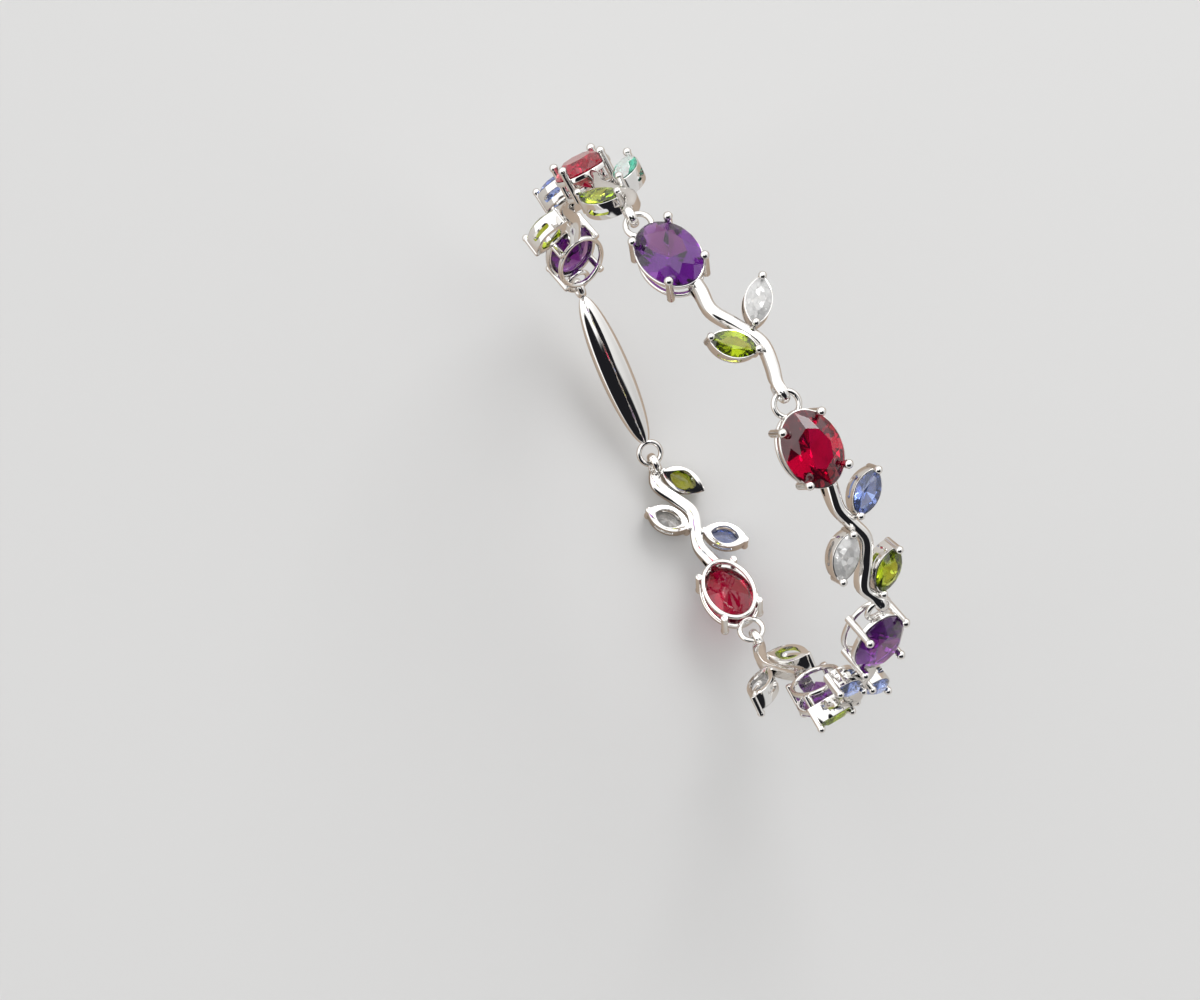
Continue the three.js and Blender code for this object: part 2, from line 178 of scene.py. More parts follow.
def makeStage():
    deselectAll()
    low = solidBox[0].z - studio["floorDrop"]
    bpy.ops.mesh.primitive_plane_add(size=studio["floorSize"], location=(0, 0, low))
    floor = bpy.context.object
    floor.name = "studioFloor"
    bpy.ops.object.transform_apply(location=True, rotation=True, scale=True)
    paper = bpy.data.materials.new("backdropPaper")
    paper.use_nodes = True
    nodes, links = paper.node_tree.nodes, paper.node_tree.links
    shader = nodes["Principled BSDF"]
    shader.inputs["Roughness"].default_value = studio["floorRoughness"]
    # painted reflection: polished metal and stones see the floor in a darker tone than the camera does, which
    # keeps their outlines clear
    ray = nodes.new("ShaderNodeLightPath")
    either = nodes.new("ShaderNodeMath")
    either.operation = "MAXIMUM"
    links.new(ray.outputs["Is Glossy Ray"], either.inputs[0])
    links.new(ray.outputs["Is Transmission Ray"], either.inputs[1])
    tone = nodes.new("ShaderNodeMix")
    tone.data_type = "RGBA"
    tone.inputs[6].default_value = (*studio["floorColour"], 1)
    # painted reflection: metal and stones see a warm, darker floor below the middle of the loop and a paler
    # one past its sides
    where = nodes.new("ShaderNodeTexCoord")
    parts = nodes.new("ShaderNodeSeparateXYZ")
    across = nodes.new("ShaderNodeMath")
    across.operation = "ABSOLUTE"
    fade = nodes.new("ShaderNodeMapRange")
    fade.inputs["From Min"].default_value = studio["paintedReflectionFade"][0]
    fade.inputs["From Max"].default_value = studio["paintedReflectionFade"][1]
    paintedReflection = nodes.new("ShaderNodeMix")
    paintedReflection.data_type = "RGBA"
    paintedReflection.inputs[6].default_value = (*studio["warmPaintedReflection"], 1)
    paintedReflection.inputs[7].default_value = (*studio["palePaintedReflection"], 1)
    links.new(where.outputs["Object"], parts.inputs[0])
    links.new(parts.outputs["X"], across.inputs[0])
    links.new(across.outputs[0], fade.inputs["Value"])
    links.new(fade.outputs[0], paintedReflection.inputs["Factor"])
    links.new(paintedReflection.outputs[2], tone.inputs[7])
    links.new(either.outputs[0], tone.inputs["Factor"])
    links.new(tone.outputs[2], shader.inputs["Base Color"])
    floor.data.materials.append(paper)

    data = bpy.data.lights.new("keyLight", "AREA")
    data.shape = "DISK"
    data.size = studio["keySize"]
    data.energy = studio["keyPower"]
    key = bpy.data.objects.new("keyLight", data)
    bpy.context.scene.collection.objects.link(key)
    place = Vector(studio["keyPlace"])
    key.location = place
    key.rotation_mode = "QUATERNION"
    key.rotation_quaternion = (-place).to_track_quat("-Z", "Y")


bpy.context.scene.view_settings.view_transform = "Standard"
makeCamera()
makeSky()
makeStage()
print("camera and stage are ready")


# materials

silver = {"colour": (0.86, 0.85, 0.835), "edge": (0.75, 0.74, 0.73), "roughness": 0.045, "scratch": 0.02}
wear = {
    "cloudScale": 420,
    "cloudDetail": 3,
    "cloudFrom": 0.35,
    "cloudTo": 0.75,
    "shine": 0.75,
    "dullness": 1.7,
    "darkest": 0.93,
    "lineScale": (9000, 1400, 1400),
    "lineDetail": 2,
    "lineDepth": 0.00002,
}
stonePolish = {"roughness": 0.012, "scratch": 0.0}
# seen is the colour at the surface, tint and depth are what the light loses inside
stones = {
    "ruby": {
        "seen": (0.79, 0.02, 0.15), "tint": (0.88, 0.12, 0.61), "depth": 640, "bend": 1.74, "clear": 0.95,
    },
    "amethyst": {
        "seen": (0.62, 0.36, 0.78), "tint": (0.70, 0.25, 0.77), "depth": 800, "bend": 1.66, "clear": 0.97,
    },
    "peridot": {
        "seen": (0.84, 0.93, 0.34), "tint": (0.80, 0.85, 0.05), "depth": 980, "bend": 1.70, "clear": 0.98,
    },
    "blue": {
        "seen": (0.58, 0.70, 1.0), "tint": (0.40, 0.55, 0.97), "depth": 360, "bend": 1.72, "clear": 0.93,
    },
    "clear": {
        "seen": (1.0, 1.0, 1.0), "tint": (0.98, 0.99, 1.0), "depth": 3, "bend": 2.35, "clear": 0.56,
    },
    "green": {
        "seen": (0.10, 0.78, 0.56), "tint": (0.55, 0.95, 0.85), "depth": 300, "bend": 1.68, "clear": 0.86,
    },
}
glints = {"kinds": ["clear"], "perMetre": 1800, "lean": 0.42}


def makeWearGroup():
    group = bpy.data.node_groups.new("polishWear", "ShaderNodeTree")
    for name, kind, start in (
        ("Roughness", "NodeSocketFloat", 0.05), ("Scratch", "NodeSocketFloat", 0.02),
        ("Colour", "NodeSocketColor", (0.9, 0.9, 0.9, 1)),
    ):
        socket = group.interface.new_socket(name=name, in_out="INPUT", socket_type=kind)
        socket.default_value = start
    for name, kind in (
        ("Colour", "NodeSocketColor"), ("Roughness", "NodeSocketFloat"), ("Normal", "NodeSocketVector"),
    ):
        group.interface.new_socket(name=name, in_out="OUTPUT", socket_type=kind)
    nodes, links = group.nodes, group.links
    given = nodes.new("NodeGroupInput")
    made = nodes.new("NodeGroupOutput")
    place = nodes.new("ShaderNodeTexCoord")

    # handling marks: soft cloudy patches that are a little duller
    cloud = nodes.new("ShaderNodeTexNoise")
    cloud.inputs["Scale"].default_value = wear["cloudScale"]
    cloud.inputs["Detail"].default_value = wear["cloudDetail"]
    links.new(place.outputs["Object"], cloud.inputs["Vector"])
    dull = nodes.new("ShaderNodeMapRange")
    dull.inputs["From Min"].default_value = wear["cloudFrom"]
    dull.inputs["From Max"].default_value = wear["cloudTo"]
    dull.inputs["To Min"].default_value = wear["shine"]
    dull.inputs["To Max"].default_value = wear["dullness"]
    links.new(cloud.outputs["Fac"], dull.inputs["Value"])
    rough = nodes.new("ShaderNodeMath")
    rough.operation = "MULTIPLY"
    links.new(given.outputs["Roughness"], rough.inputs[0])
    links.new(dull.outputs["Result"], rough.inputs[1])
    links.new(rough.outputs[0], made.inputs["Roughness"])

    # the same patches take the colour a shade down
    tone = nodes.new("ShaderNodeMix")
    tone.data_type = "RGBA"
    tone.blend_type = "MULTIPLY"
    tone.inputs["Factor"].default_value = 1
    shade = nodes.new("ShaderNodeMapRange")
    shade.inputs["To Min"].default_value = 1.0
    shade.inputs["To Max"].default_value = wear["darkest"]
    links.new(cloud.outputs["Fac"], shade.inputs["Value"])
    links.new(given.outputs["Colour"], tone.inputs[6])
    links.new(shade.outputs["Result"], tone.inputs[7])
    links.new(tone.outputs[2], made.inputs["Colour"])

    # fine polishing lines
    stretch = nodes.new("ShaderNodeMapping")
    stretch.inputs["Scale"].default_value = wear["lineScale"]
    links.new(place.outputs["Object"], stretch.inputs["Vector"])
    lines = nodes.new("ShaderNodeTexNoise")
    lines.inputs["Scale"].default_value = 1
    lines.inputs["Detail"].default_value = wear["lineDetail"]
    links.new(stretch.outputs["Vector"], lines.inputs["Vector"])
    bump = nodes.new("ShaderNodeBump")
    bump.inputs["Distance"].default_value = wear["lineDepth"]
    links.new(given.outputs["Scratch"], bump.inputs["Strength"])
    links.new(lines.outputs["Fac"], bump.inputs["Height"])
    links.new(bump.outputs["Normal"], made.inputs["Normal"])
    return group


polishWear = makeWearGroup()


def addWear(material, colour, roughness, scratch):
    nodes, links = material.node_tree.nodes, material.node_tree.links
    shader = nodes["Principled BSDF"]
    polish = nodes.new("ShaderNodeGroup")
    polish.node_tree = polishWear
    polish.inputs["Colour"].default_value = (*colour, 1)
    polish.inputs["Roughness"].default_value = roughness
    polish.inputs["Scratch"].default_value = scratch
    links.new(polish.outputs["Colour"], shader.inputs["Base Color"])
    links.new(polish.outputs["Roughness"], shader.inputs["Roughness"])
    links.new(polish.outputs["Normal"], shader.inputs["Normal"])
    return shader


def makeSilver():
    material = bpy.data.materials.new("polishedSilver")
    material.use_nodes = True
    shader = addWear(material, silver["colour"], silver["roughness"], silver["scratch"])
    shader.inputs["Metallic"].default_value = 1
    shader.inputs["Specular Tint"].default_value = (*silver["edge"], 1)
    return material


def addGlints(material):
    # every cell leans its own way, which breaks up the light like many small facets
    nodes, links = material.node_tree.nodes, material.node_tree.links
    shader = nodes["Principled BSDF"]
    place = nodes.new("ShaderNodeTexCoord")
    cell = nodes.new("ShaderNodeTexVoronoi")
    cell.inputs["Scale"].default_value = glints["perMetre"]
    within = nodes.new("ShaderNodeVectorMath")
    within.operation = "SUBTRACT"
    lean = nodes.new("ShaderNodeVectorMath")
    lean.operation = "SUBTRACT"
    lean.inputs[1].default_value = (0.5, 0.5, 0.5)
    rise = nodes.new("ShaderNodeVectorMath")
    rise.operation = "DOT_PRODUCT"
    bump = nodes.new("ShaderNodeBump")
    bump.inputs["Distance"].default_value = glints["lean"]
    links.new(place.outputs["Object"], cell.inputs["Vector"])
    links.new(place.outputs["Object"], within.inputs[0])
    links.new(cell.outputs["Position"], within.inputs[1])
    links.new(cell.outputs["Color"], lean.inputs[0])
    links.new(within.outputs["Vector"], rise.inputs[0])
    links.new(lean.outputs["Vector"], rise.inputs[1])
    links.new(rise.outputs["Value"], bump.inputs["Height"])
    links.new(shader.inputs["Normal"].links[0].from_socket, bump.inputs["Normal"])
    links.new(bump.outputs["Normal"], shader.inputs["Normal"])


def makeStoneMaterial(kind):
    facts = stones[kind]
    material = bpy.data.materials.new(f"{kind}Stone")
    material.use_nodes = True
    nodes, links = material.node_tree.nodes, material.node_tree.links
    shader = addWear(material, facts["seen"], stonePolish["roughness"], stonePolish["scratch"])
    shader.inputs["Transmission Weight"].default_value = facts["clear"]
    shader.inputs["IOR"].default_value = facts["bend"]
    depth = nodes.new("ShaderNodeVolumeAbsorption")
    depth.inputs["Color"].default_value = (*facts["tint"], 1)
    depth.inputs["Density"].default_value = facts["depth"]
    links.new(depth.outputs["Volume"], nodes["Material Output"].inputs["Volume"])
    if kind in glints["kinds"]:
        addGlints(material)
    return material


silverMaterial = makeSilver()
stoneMaterials = {kind: makeStoneMaterial(kind) for kind in stones}
print("materials are ready")


# making tools

shaping = {"sharpFrom": 50, "smoothBelow": 34, "sliver": 2e-4}


def applyAll(thing):
    pick(thing)
    bpy.ops.object.transform_apply(location=True, rotation=True, scale=True)
    return thing


def applyModifier(thing, kind, **settings):
    pick(thing)
    modifier = thing.modifiers.new(kind.lower(), kind)
    for name, value in settings.items():
        setattr(modifier, name, value)
    bpy.ops.object.modifier_apply(modifier=modifier.name)
    return thing


def roundEdges(thing, width, segments):
    sharp = math.radians(shaping["sharpFrom"])
    return applyModifier(
        thing, "BEVEL", width=width, segments=segments, limit_method="ANGLE", angle_limit=sharp)


def smoothSurface(thing):
    pick(thing)
    bpy.ops.object.shade_smooth_by_angle(angle=math.radians(shaping["smoothBelow"]))
    return thing


def addColumn(vertices, radius, low, high, x=0, y=0):
    bpy.ops.mesh.primitive_cylinder_add(
        vertices=vertices, radius=radius, depth=high - low, location=(x, y, (high + low) / 2))
    return bpy.context.object


def combine(thing, other, operation):
    applyModifier(thing, "BOOLEAN", operation=operation, solver="MANIFOLD", object=other)
    bpy.data.objects.remove(other)
    return thing


def copyOf(thing, placement=None):
    twin = thing.copy()
    twin.data = thing.data.copy()
    bpy.context.scene.collection.objects.link(twin)
    if placement is not None:
        twin.matrix_world = placement
        applyAll(twin)
    return twin


def pickFaces(thing, wanted):
    bpy.ops.object.mode_set(mode="EDIT")
    bpy.ops.mesh.select_mode(type="FACE")
    bpy.ops.mesh.select_all(action="DESELECT")
    bpy.ops.object.mode_set(mode="OBJECT")
    for face in thing.data.polygons:
        face.select = wanted(face)
    bpy.ops.object.mode_set(mode="EDIT")


def clearSlivers(thing):
    # unions can leave needle faces with no area
    pick(thing)
    bpy.ops.object.mode_set(mode="EDIT")
    bpy.ops.mesh.select_all(action="SELECT")
    bpy.ops.mesh.dissolve_degenerate(threshold=shaping["sliver"])
    bpy.ops.object.mode_set(mode="OBJECT")


# stones: a blank is ground down facet by facet

ovalCut = {"length": 8, "width": 6, "table": 0.56, "crown": 1.1, "girdle": 0.15, "pavilion": 2.45}
leafCut = {"length": 5, "width": 2.6, "table": 0.5, "crown": 0.5, "girdle": 0.1, "pavilion": 1.15}
lowerReach = 0.42  # how far out the lower facets reach towards the tip


def ovalEdge(cut, turn):
    return Vector((cut["length"] / 2 * math.cos(turn), cut["width"] / 2 * math.sin(turn), 0))


def leafRadius(cut):
    half = cut["length"] / 2
    return (half * half + cut["width"] ** 2 / 4) / cut["width"]


def leafEdge(cut, turn):
    arc = leafRadius(cut)
    x = cut["length"] / 2 * math.cos(turn)
    y = max(0.0, math.sqrt(arc * arc - x * x) - (arc - cut["width"] / 2))
    return Vector((x, math.copysign(y, math.sin(turn)), 0))


def ovalBlank(cut, low, high):
    blank = addColumn(96, 1, low, high)
    blank.scale = (cut["length"] / 2, cut["width"] / 2, 1)
    return applyAll(blank)


def leafBlank(cut, low, high):
    arc = leafRadius(cut)
    halves = []
    for side in (1, -1):
        halves.append(applyAll(addColumn(192, arc, low, high, y=side * (cut["width"] / 2 - arc))))
    return combine(halves[0], halves[1], "INTERSECT")


def facetPlanes(cut, edge):
    step = math.pi / 8
    starReach = (1 + cut["table"]) / 2
    starHeight = cut["crown"] * (1 - starReach * math.cos(step)) / (1 - cut["table"])
    lowerDepth = cut["pavilion"] * (1 - lowerReach * math.cos(step))
    rim = cut["girdle"] / 2

    def at(k, reach, height):
        point = edge(cut, k * step) * reach
        point.z = height
        return point

    planes = []
    for i in range(8):
        main, middle, after = 2 * i, 2 * i + 1, 2 * i + 2
        table, nextTable = at(main, cut["table"], cut["crown"]), at(after, cut["table"], cut["crown"])
        star = at(middle, starReach, starHeight)
        upper, upperMiddle, nextUpper = at(main, 1, rim), at(middle, 1, rim), at(after, 1, rim)
        under, underMiddle, nextUnder = at(main, 1, -rim), at(middle, 1, -rim), at(after, 1, -rim)
        lower = at(middle, lowerReach, -lowerDepth)
        tip = Vector((0, 0, -cut["pavilion"]))
        planes += [(table, star, nextTable), (table, upper, star), (star, nextUpper, nextTable)]
        planes += [(star, upper, upperMiddle), (star, upperMiddle, nextUpper)]
        planes += [(lower, underMiddle, under), (lower, nextUnder, underMiddle)]
        planes += [(tip, lower, under), (tip, nextUnder, lower)]
    return planes


def cutStone(name, cut, edge, blank):
    deselectAll()
    stone = blank(cut, -cut["pavilion"] - 0.2, cut["crown"])
    stone.name = name
    pick(stone)
    bpy.ops.object.mode_set(mode="EDIT")
    for a, b, c in facetPlanes(cut, edge):
        normal = (b - a).cross(c - a)
        if normal.length < 1e-6:
            continue
        bpy.ops.mesh.select_all(action="SELECT")
        bpy.ops.mesh.bisect(
            plane_co=a, plane_no=normal.normalized(), use_fill=True, clear_outer=True, threshold=1e-5)
    bpy.ops.mesh.select_all(action="SELECT")
    bpy.ops.mesh.remove_doubles(threshold=1e-4)
    bpy.ops.mesh.normals_make_consistent(inside=False)
    bpy.ops.object.mode_set(mode="OBJECT")
    return stone


ovalStone = cutStone("ovalStone", ovalCut, ovalEdge, ovalBlank)
leafStone = cutStone("leafStone", leafCut, leafEdge, leafBlank)
print("stones are cut:", len(ovalStone.data.polygons), "and", len(leafStone.data.polygons), "faces")


# settings

basket = {
    "girdle": 1, "railTop": 0.86, "railBottom": 0.3, "railOut": 0.14, "railWall": 0.42,
    "railBevel": 0.1,
    "footTop": -1.25, "footBottom": -1.8, "footIn": 0.08, "footWall": 0.5, "footBevel": 0.2,
    "solderReach": 3.86, "solderRadius": 0.34, "solderLow": -0.16, "solderHigh": 0.62,
    "postRadius": 0.4, "ballRadius": 0.48, "ballHeight": 1.95, "postOut": 0.16,
}
leafCup = {
    "girdle": 0.75, "top": 0.68, "bottom": -1.35, "wallOut": 0.14, "wall": 0.4, "endWall": 1.0, "bevel": 0.07,
    "slotTop": -0.05, "slotBottom": -0.75, "slotLength": 2.5, "slotBevel": 0.3,
    "postReach": 2.42, "postRadius": 0.36, "ballRadius": 0.43, "ballHeight": 1.2,
    "toStem": 1, "centreOut": 2.4,
}
postBevel = 0.12
seatSlack = 1.006


def ovalBand(out, wall, bottom, top, bevel):
    band = addColumn(72, 1, bottom, top)
    band.scale = (ovalCut["length"] / 2 + out, ovalCut["width"] / 2 + out, 1)
    applyAll(band)
    pickFaces(band, lambda face: abs(face.normal.z) > 0.9)
    bpy.ops.mesh.inset(thickness=wall, depth=0)
    bpy.ops.mesh.bridge_edge_loops()
    bpy.ops.object.mode_set(mode="OBJECT")
    return roundEdges(band, bevel, 3)


def post(x, y, bottom, radius, ballHeight, ballRadius):
    stalk = applyAll(addColumn(24, radius, bottom, ballHeight, x, y))
    roundEdges(stalk, postBevel, 2)
    bpy.ops.mesh.primitive_uv_sphere_add(
        segments=28, ring_count=16, radius=ballRadius, location=(x, y, ballHeight))
    return combine(stalk, applyAll(bpy.context.object), "UNION")


def cutSeat(metal, stone, x, girdle):
    # the stone itself, a hair larger, leaves its seat in the metal
    seat = copyOf(stone, Matrix.Translation((x, 0, girdle)) @ Matrix.Scale(seatSlack, 4))
    return combine(metal, seat, "DIFFERENCE")


def makeBasket():
    deselectAll()
    setting = ovalBand(
        basket["railOut"], basket["railWall"], basket["railBottom"], basket["railTop"], basket["railBevel"])
    foot = ovalBand(
        -basket["footIn"], basket["footWall"], basket["footBottom"], basket["footTop"], basket["footBevel"])
    corner = ovalEdge(ovalCut, math.pi / 4)
    length, width = ovalCut["length"], ovalCut["width"]
    away = Vector((width * corner.x / length, length * corner.y / width, 0))
    stand = corner + away.normalized() * basket["postOut"]
    # a blob of solder ties the head ring to the rail
    high, low = basket["solderHigh"], basket["solderLow"]
    bpy.ops.mesh.primitive_uv_sphere_add(segments=24, ring_count=16, radius=1, location=(0, 0, 0))
    solder = bpy.context.object
    solder.scale = (basket["solderRadius"], basket["solderRadius"] * 1.5, (high - low) / 2)
    solder.location = (-basket["solderReach"], 0, (high + low) / 2)
    pieces = [foot, applyAll(solder)]
    for sideX in (-1, 1):
        for sideY in (-1, 1):
            pieces.append(post(
                sideX * stand.x, sideY * stand.y, basket["footBottom"], basket["postRadius"],
                basket["ballHeight"], basket["ballRadius"]))
    for piece in pieces:
        combine(setting, piece, "UNION")
    cutSeat(setting, ovalStone, 0, basket["girdle"])
    setting.name = "basketSetting"
    return setting


def leafPrism(out, endIn, bottom, top):
    cut = {"length": leafCut["length"] + 2 * out - 2 * endIn, "width": leafCut["width"] + 2 * out}
    return leafBlank(cut, bottom, top)


def makeLeafCup():
    deselectAll()
    cup = leafPrism(leafCup["wallOut"], 0, leafCup["bottom"], leafCup["top"])
    roundEdges(cup, leafCup["bevel"], 3)
    hollow = leafPrism(leafCup["wallOut"] - leafCup["wall"], leafCup["endWall"] - leafCup["wall"], -3, 3)
    combine(cup, hollow, "DIFFERENCE")
    for end in (-1, 1):
        stalk = post(
            end * leafCup["postReach"], 0, leafCup["bottom"], leafCup["postRadius"],
            leafCup["ballHeight"], leafCup["ballRadius"])
        combine(cup, stalk, "UNION")
    height = leafCup["slotTop"] - leafCup["slotBottom"]
    bpy.ops.mesh.primitive_cube_add(size=1, location=(0, 0, leafCup["slotBottom"] + height / 2))
    slot = bpy.context.object
    slot.scale = (leafCup["slotLength"], 6, height)
    applyAll(slot)
    applyModifier(slot, "BEVEL", width=leafCup["slotBevel"], segments=5)
    combine(cup, slot, "DIFFERENCE")
    cutSeat(cup, leafStone, 0, leafCup["girdle"])
    cup.name = "leafCup"
    return cup


basketSetting = makeBasket()
leafCupSetting = makeLeafCup()
print("settings are ready")


# stems: one rounded bar on edge per pattern

linkSize = {"length": 23.8, "headLean": 8.4, "basketCentre": 6.3, "stemStart": 10}
headRing = {"radius": 1.3, "wire": 0.3}
tailLoop = {"radius": 0.95, "wire": 0.28, "breadth": 0.88}
stemBar = {"width": 1.4, "height": 1.77, "flatness": 0.35, "stations": 36}
stemFork = {"along": 0.5, "height": -0.62, "long": 1.5, "tall": 0.95}
stemEdges = [
    {"along": -0.2, "top": 0.86, "bottom": -1.75, "width": 1.5},
    {"along": 1.2, "top": 0.76, "bottom": -1.55, "width": 1.5},
    {"along": 3.2, "top": 0.66, "bottom": -1.15, "width": 1.4},
    {"along": 11.6, "top": 0.68, "bottom": -1.1, "width": 1.35},
    {"along": 12.8, "top": 0.85, "bottom": -0.8, "width": 1.25},
    {"along": 13.4, "top": 1, "bottom": 0.25, "width": 1.15},
    {"along": 13.75, "top": 1.08, "bottom": 0.6, "width": 1.1},
    {"along": 14.2, "top": 1.18, "bottom": 0.72, "width": 1.05},
]
stemPatterns = {
    "pair": {
        "bends": [
            (-0.2, 0.3), (1.2, 0.1), (3.4, -0.4), (6.3, 0.6), (9.2, 1.5), (11.7, 0.9), (13.4, 0.1), (14.2, 0),
        ],
        "leaves": [(7.3, 1, 134), (9.5, -1, -140)],
    },
    "latePair": {
        "bends": [
            (-0.2, 0.3), (2.5, 0.2), (5, -0.1), (8, 0.5), (10.8, 1.35), (12.4, 0.8), (13.4, 0.15), (14.2, 0),
        ],
        "leaves": [(8.2, 1, 150), (10.8, -1, -138)],
    },
    "trio": {
        "bends": [
            (-0.2, 0.3), (1.2, 0.05), (3, -0.15), (5, 0.5), (7, 1.1), (9.3, 0.2), (11.9, -1), (13.4, -0.3),
            (14.2, 0),
        ],
        "leaves": [(4.3, 1, 132), (5.6, -1, -38), (12.8, 1, 141)],
    },
}
stemPatterns["wideTrio"] = {
    "bends": stemPatterns["trio"]["bends"],
    "leaves": [*stemPatterns["trio"]["leaves"][:2], (12.4, 1, 108)],
}

lean = math.radians(linkSize["headLean"])
tailPivot = Vector((linkSize["length"] * math.cos(lean), 0, -linkSize["length"] * math.sin(lean)))
stemRun = tailPivot.x - linkSize["stemStart"]
stemTurn = 2 * math.atan(-tailPivot.z / stemRun)
stemRadius = stemRun / math.sin(stemTurn)


def readCurve(points, along):
    # value at a distance along a smooth curve through (distance, value) points
    spots = [Vector(point) for point in points]
    spots = [2 * spots[0] - spots[1], *spots, 2 * spots[-1] - spots[-2]]

    def at(share):
        whole = share * (len(points) - 1)
        i = min(int(whole), len(points) - 2)
        t = whole - i
        a, b, c, d = spots[i:i + 4]
        before, within, after = ((q - p).length ** 0.5 for p, q in ((a, b), (b, c), (c, d)))
        start = ((b - a) / before - (c - a) / (before + within) + (c - b) / within) * within
        end = ((c - b) / within - (d - b) / (within + after) + (d - c) / after) * within
        square, cube = 3 * (c - b) - 2 * start - end, 2 * (b - c) + start + end
        return b + start * t + square * t * t + cube * t ** 3

    low, high = 0.0, 1.0
    for _ in range(30):
        middle = (low + high) / 2
        if at(middle).x < along:
            low = middle
        else:
            high = middle
    return at((low + high) / 2).y


def stemFrame(along, aside, height):
    turn = max(0, along) / stemRadius
    start = linkSize["stemStart"] + min(0, along)
    reach = stemRadius + height
    place = Vector((start + reach * math.sin(turn), aside, reach * math.cos(turn) - stemRadius))
    return Matrix.Translation(place) @ Matrix.Rotation(turn, 4, "Y")


def makeSection():
    # round on top, nearly flat below, top at 0 and one bar height deep
    radius = stemBar["width"] / 2
    bpy.ops.mesh.primitive_circle_add(vertices=28, radius=radius, location=(0, 0, 0))
    section = bpy.context.object
    bpy.ops.object.mode_set(mode="EDIT")
    bpy.ops.mesh.select_all(action="SELECT")
    bpy.ops.transform.translate(value=(0, -radius, 0))
    bpy.ops.mesh.select_mode(type="VERT")
    bpy.ops.mesh.select_all(action="DESELECT")
    bpy.ops.object.mode_set(mode="OBJECT")
    for vertex in section.data.vertices:
        vertex.select = vertex.co.y < -radius - 1e-4
    bpy.ops.object.mode_set(mode="EDIT")
    bpy.ops.transform.resize(value=(1, stemBar["flatness"], 1), center_override=(0, -radius, 0))
    bpy.ops.transform.translate(value=(0, (1 + stemBar["flatness"]) * radius - stemBar["height"], 0))
    bpy.ops.object.mode_set(mode="OBJECT")
    section.name = "stemSection"
    return section


def makeStem(pattern, flip):
    deselectAll()
    bends = stemPatterns[pattern]["bends"]
    tops = [(row["along"], row["top"]) for row in stemEdges]
    bottoms = [(row["along"], row["bottom"]) for row in stemEdges]
    widths = [(row["along"], row["width"]) for row in stemEdges]
    first, last = bends[0][0], bends[-1][0]
    rings = []
    for i in range(stemBar["stations"] + 1):
        along = first + (last - first) * i / stemBar["stations"]
        aside = flip * readCurve(bends, along)
        slope = flip * (readCurve(bends, along + 0.1) - readCurve(bends, along - 0.1)) / 0.2
        top, bottom = readCurve(tops, along), readCurve(bottoms, along)
        # the section's X goes across the bar, its Y up and its Z along
        turned = Matrix(((0, 0, 1, 0), (1, 0, 0, 0), (0, 1, 0, 0), (0, 0, 0, 1)))
        swing = Matrix.Rotation(math.atan(slope), 4, "Z")
        wide, tall = readCurve(widths, along) / stemBar["width"], (top - bottom) / stemBar["height"]
        sized = Matrix.Diagonal((wide, tall, 1, 1))
        rings.append(copyOf(stemSection, stemFrame(along, aside, top) @ swing @ turned @ sized))
    deselectAll()
    for ring in rings:
        ring.select_set(True)
    bpy.context.view_layer.objects.active = rings[0]
    bpy.ops.object.join()
    stem = bpy.context.object
    stem.name = f"{pattern}Stem"
    bpy.ops.object.mode_set(mode="EDIT")
    bpy.ops.mesh.select_all(action="SELECT")
    bpy.ops.mesh.bridge_edge_loops()
    bpy.ops.mesh.select_all(action="DESELECT")
    bpy.ops.mesh.select_mode(type="EDGE")
    bpy.ops.mesh.select_non_manifold()
    bpy.ops.mesh.fill_holes(sides=0)
    bpy.ops.mesh.select_all(action="SELECT")
    bpy.ops.mesh.normals_make_consistent(inside=False)
    bpy.ops.object.mode_set(mode="OBJECT")
    return stem


def leafFrames(pattern, flip):
    frames = []
    for along, side, heading in stemPatterns[pattern]["leaves"]:
        aside = flip * (readCurve(stemPatterns[pattern]["bends"], along) + side * leafCup["toStem"])
        turned = Matrix.Rotation(flip * math.radians(heading), 4, "Z")
        frames.append(stemFrame(along, aside, 0) @ turned @ Matrix.Translation((leafCup["centreOut"], 0, 0)))
    return frames


stemSection = makeSection()


# links

def makeHeadRing():
    bpy.ops.mesh.primitive_torus_add(
        major_radius=headRing["radius"], minor_radius=headRing["wire"],
        major_segments=56, minor_segments=16, location=(headRing["radius"], 0, 0))
    return applyAll(bpy.context.object)


def makeTailLoop(place):
    bpy.ops.mesh.primitive_torus_add(
        major_radius=tailLoop["radius"], minor_radius=tailLoop["wire"],
        major_segments=48, minor_segments=20, location=place, rotation=(math.pi / 2, 0, 0))
    band = bpy.context.object
    band.scale = (1, 1, tailLoop["breadth"] / (2 * tailLoop["wire"]))
    return applyAll(band)


def makeLink(pattern, flip):
    link = makeStem(pattern, flip)
    # the bar leaves the basket as two strands, one from each rail
    bpy.ops.mesh.primitive_cylinder_add(
        vertices=40, radius=0.5, depth=4, location=(0, 0, 0), rotation=(math.pi / 2, 0, 0))
    gap = applyAll(bpy.context.object)
    gap.scale = (stemFork["long"], 1, stemFork["tall"])
    gap.location = (linkSize["stemStart"] + stemFork["along"], 0, stemFork["height"])
    combine(link, applyAll(gap), "DIFFERENCE")
    combine(link, copyOf(basketSetting, Matrix.Translation((linkSize["basketCentre"], 0, 0))), "UNION")
    combine(link, makeHeadRing(), "UNION")
    combine(link, makeTailLoop(tailPivot), "UNION")
    for frameAt in leafFrames(pattern, flip):
        combine(link, copyOf(leafCupSetting, frameAt), "UNION")
    cutSeat(link, ovalStone, linkSize["basketCentre"], basket["girdle"])
    clearSlivers(link)
    return smoothSurface(link)


